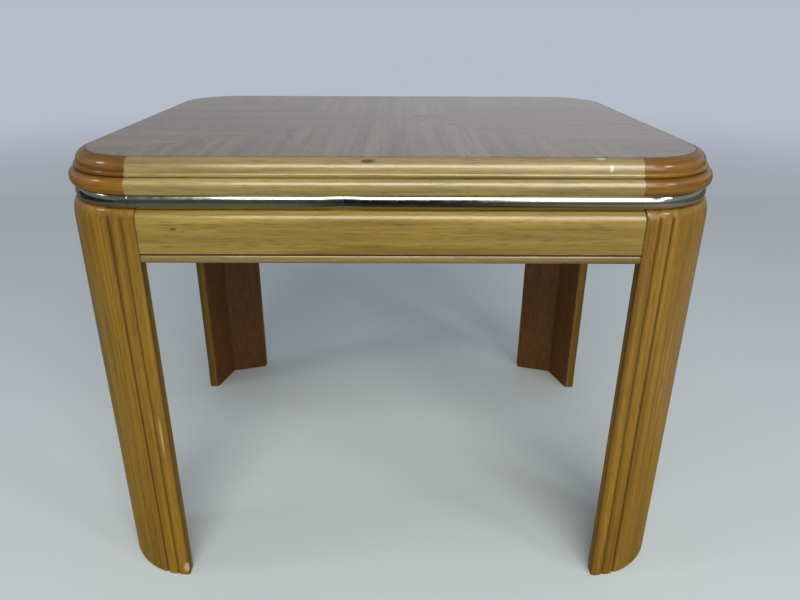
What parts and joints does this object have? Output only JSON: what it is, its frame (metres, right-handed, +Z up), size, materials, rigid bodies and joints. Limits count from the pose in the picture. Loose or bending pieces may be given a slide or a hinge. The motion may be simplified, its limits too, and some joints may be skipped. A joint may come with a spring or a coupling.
{
  "type": "end table",
  "caption": "Low rectangular oak table: mitred veneer top in a moulded rim, a bright half-round metal band, an apron with a bottom bead, and reeded quarter-round corner legs.",
  "frame": {"origin": "on the floor, under the middle of the top", "axes": "+Z up, +X to the right along the long side, front (the side with the band's splice) towards -Y"},
  "size_m": [0.7104, 0.5514, 0.542],
  "materials": {
    "oak": "golden oak, clear semi-gloss lacquer",
    "oak_orange": "orange-brown oak, clear semi-gloss lacquer",
    "oak_dark": "oak stained dark, thin lacquer",
    "veneer": "mitred oak veneer, clear semi-gloss lacquer",
    "particleboard": "raw particleboard",
    "pine": "raw pine",
    "birch": "raw birch",
    "bright_metal": "polished bright plate",
    "steel": "zinc plated"
  },
  "bodies": {
    "root": {"top_core": "particleboard", "veneer_front": "veneer", "veneer_rear": "veneer", "veneer_left": "veneer", "veneer_right": "veneer", "rim_front": "oak", "rim_rear": "oak", "rim_left": "oak", "rim_right": "oak", "rim_corner_front_left": "oak_orange", "rim_corner_front_right": "oak_orange", "rim_corner_rear_left": "oak_orange", "rim_corner_rear_right": "oak_orange", "cleat_front": "pine", "cleat_rear": "pine", "cleat_left": "pine", "cleat_right": "pine", "rail_front": "oak_dark", "rail_rear": "oak_dark", "rail_left": "oak_dark", "rail_right": "oak_dark", "rail_corner_front_left": "oak_dark", "rail_corner_front_right": "oak_dark", "rail_corner_rear_left": "oak_dark", "rail_corner_rear_right": "oak_dark", "band_front_short": "bright_metal", "band_front_long": "bright_metal", "band_rear": "bright_metal", "band_left": "bright_metal", "band_right": "bright_metal", "band_corner_front_left": "bright_metal", "band_corner_front_right": "bright_metal", "band_corner_rear_left": "bright_metal", "band_corner_rear_right": "bright_metal", "apron_front": "oak", "apron_rear": "oak", "apron_left": "oak", "apron_right": "oak", "bead_front": "oak", "bead_rear": "oak", "bead_left": "oak", "bead_right": "oak", "leg_front_left": "oak_orange", "leg_front_right": "oak_orange", "leg_rear_left": "oak_orange", "leg_rear_right": "oak_orange", "corner_block_front_left": "pine", "corner_block_front_right": "pine", "corner_block_rear_left": "pine", "corner_block_rear_right": "pine", "apron_dowels": "birch", "rim_dowels": "birch", "block_screws": "steel", "top_screws": "steel", "rail_screws": "steel", "band_pins": "bright_metal"}
  },
  "joints": []
}
